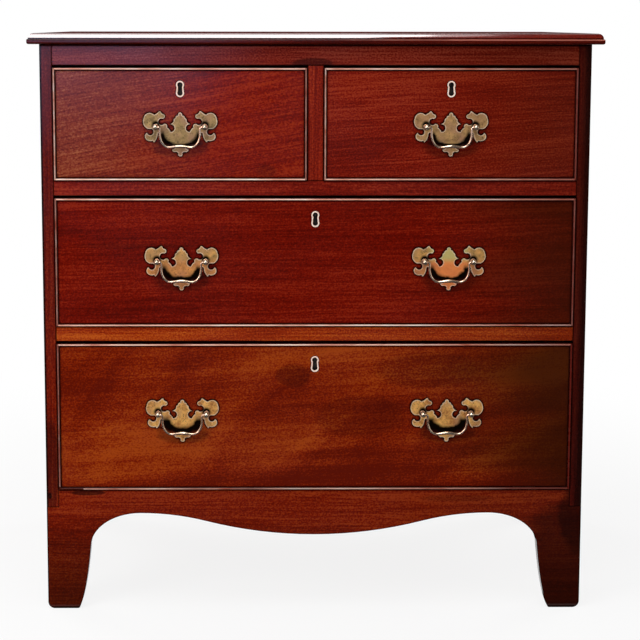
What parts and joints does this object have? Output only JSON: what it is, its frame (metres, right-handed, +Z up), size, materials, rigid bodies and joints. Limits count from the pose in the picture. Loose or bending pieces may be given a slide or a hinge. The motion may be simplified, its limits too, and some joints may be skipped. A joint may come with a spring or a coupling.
{
  "type": "bachelor's chest of drawers",
  "caption": "Small chest with short drawers over long drawers, moulded top, serpentine apron, bracket feet and drop handles; drawers slide, bails swing and lock bolts rise.",
  "frame": {"origin": "on the floor, at the middle of the overall width and depth, handles included", "axes": "+X to the viewer's right, +Y from the front to the back, +Z up"},
  "size_m": [0.74, 0.5256, 0.762],
  "materials": {
    "mahogany": "french polished",
    "oak": "bare, aged",
    "pine": "bare, aged",
    "brass": "old, worn bright",
    "pale_brass": "polished",
    "iron": "dull"
  },
  "bodies": {
    "carcase": {"top_board": "mahogany", "side_left": "mahogany", "side_right": "mahogany", "bottom_board": "pine", "top_rail_front": "mahogany", "top_rail_rear": "pine", "upper_blade": "mahogany", "lower_blade": "mahogany", "centre_divider": "mahogany", "drawer_runners": "pine", "drawer_stops": "pine", "back_boards": "pine", "base_front": "mahogany", "base_side_left": "mahogany", "base_side_right": "mahogany", "rear_brackets": "pine", "glue_blocks": "pine", "top_screws": "iron"},
    "left_drawer": {"left_drawer_front": "mahogany", "left_drawer_cockbeads": "mahogany", "left_drawer_linings": "oak", "left_drawer_bottom": "oak", "left_drawer_lock": "iron", "left_drawer_escutcheon": "pale_brass", "left_drawer_posts": "brass", "left_drawer_backplate": "brass"},
    "left_bolt": {"left_drawer_lock_bolt": "iron"},
    "left_bail": {"left_drawer_bail": "brass"},
    "right_drawer": {"right_drawer_front": "mahogany", "right_drawer_cockbeads": "mahogany", "right_drawer_linings": "oak", "right_drawer_bottom": "oak", "right_drawer_lock": "iron", "right_drawer_escutcheon": "pale_brass", "right_drawer_posts": "brass", "right_drawer_backplate": "brass"},
    "right_bolt": {"right_drawer_lock_bolt": "iron"},
    "right_bail": {"right_drawer_bail": "brass"},
    "middle_drawer": {"middle_drawer_front": "mahogany", "middle_drawer_cockbeads": "mahogany", "middle_drawer_linings": "oak", "middle_drawer_bottom": "oak", "middle_drawer_lock": "iron", "middle_drawer_escutcheon": "pale_brass", "middle_drawer_posts": "brass", "middle_drawer_backplates": "brass"},
    "middle_bolt": {"middle_drawer_lock_bolt": "iron"},
    "middle_left_bail": {"middle_drawer_bail_left": "brass"},
    "middle_right_bail": {"middle_drawer_bail_right": "brass"},
    "lower_drawer": {"lower_drawer_front": "mahogany", "lower_drawer_cockbeads": "mahogany", "lower_drawer_linings": "oak", "lower_drawer_bottom": "oak", "lower_drawer_lock": "iron", "lower_drawer_escutcheon": "pale_brass", "lower_drawer_posts": "brass", "lower_drawer_backplates": "brass"},
    "lower_bolt": {"lower_drawer_lock_bolt": "iron"},
    "lower_left_bail": {"lower_drawer_bail_left": "brass"},
    "lower_right_bail": {"lower_drawer_bail_right": "brass"}
  },
  "joints": [
    {"name": "left_drawer_slide", "type": "slide", "parent": "carcase", "child": "left_drawer", "axis": [0, -1, 0], "range_m": [0, 0.36]},
    {"name": "left_bolt_throw", "type": "slide", "parent": "left_drawer", "child": "left_bolt", "axis": [0, 0, 1], "range_m": [0, 0.008]},
    {"name": "left_bail_swing", "type": "hinge", "parent": "left_drawer", "child": "left_bail", "pos_m": [-0.175, -0.25925, 0.6421], "axis": [-1, 0, 0], "range_deg": [-17, 197]},
    {"name": "right_drawer_slide", "type": "slide", "parent": "carcase", "child": "right_drawer", "axis": [0, -1, 0], "range_m": [0, 0.36]},
    {"name": "right_bolt_throw", "type": "slide", "parent": "right_drawer", "child": "right_bolt", "axis": [0, 0, 1], "range_m": [0, 0.008]},
    {"name": "right_bail_swing", "type": "hinge", "parent": "right_drawer", "child": "right_bail", "pos_m": [0.175, -0.25925, 0.6421], "axis": [-1, 0, 0], "range_deg": [-17, 197]},
    {"name": "middle_drawer_slide", "type": "slide", "parent": "carcase", "child": "middle_drawer", "axis": [0, -1, 0], "range_m": [0, 0.36]},
    {"name": "middle_bolt_throw", "type": "slide", "parent": "middle_drawer", "child": "middle_bolt", "axis": [0, 0, 1], "range_m": [0, 0.008]},
    {"name": "middle_left_bail_swing", "type": "hinge", "parent": "middle_drawer", "child": "middle_left_bail", "pos_m": [-0.1745, -0.25925, 0.4672], "axis": [-1, 0, 0], "range_deg": [-17, 197]},
    {"name": "middle_right_bail_swing", "type": "hinge", "parent": "middle_drawer", "child": "middle_right_bail", "pos_m": [0.1745, -0.25925, 0.4672], "axis": [-1, 0, 0], "range_deg": [-17, 197]},
    {"name": "lower_drawer_slide", "type": "slide", "parent": "carcase", "child": "lower_drawer", "axis": [0, -1, 0], "range_m": [0, 0.36]},
    {"name": "lower_bolt_throw", "type": "slide", "parent": "lower_drawer", "child": "lower_bolt", "axis": [0, 0, 1], "range_m": [0, 0.008]},
    {"name": "lower_left_bail_swing", "type": "hinge", "parent": "lower_drawer", "child": "lower_left_bail", "pos_m": [-0.1745, -0.25925, 0.2653], "axis": [-1, 0, 0], "range_deg": [-17, 197]},
    {"name": "lower_right_bail_swing", "type": "hinge", "parent": "lower_drawer", "child": "lower_right_bail", "pos_m": [0.1745, -0.25925, 0.2653], "axis": [-1, 0, 0], "range_deg": [-17, 197]}
  ]
}
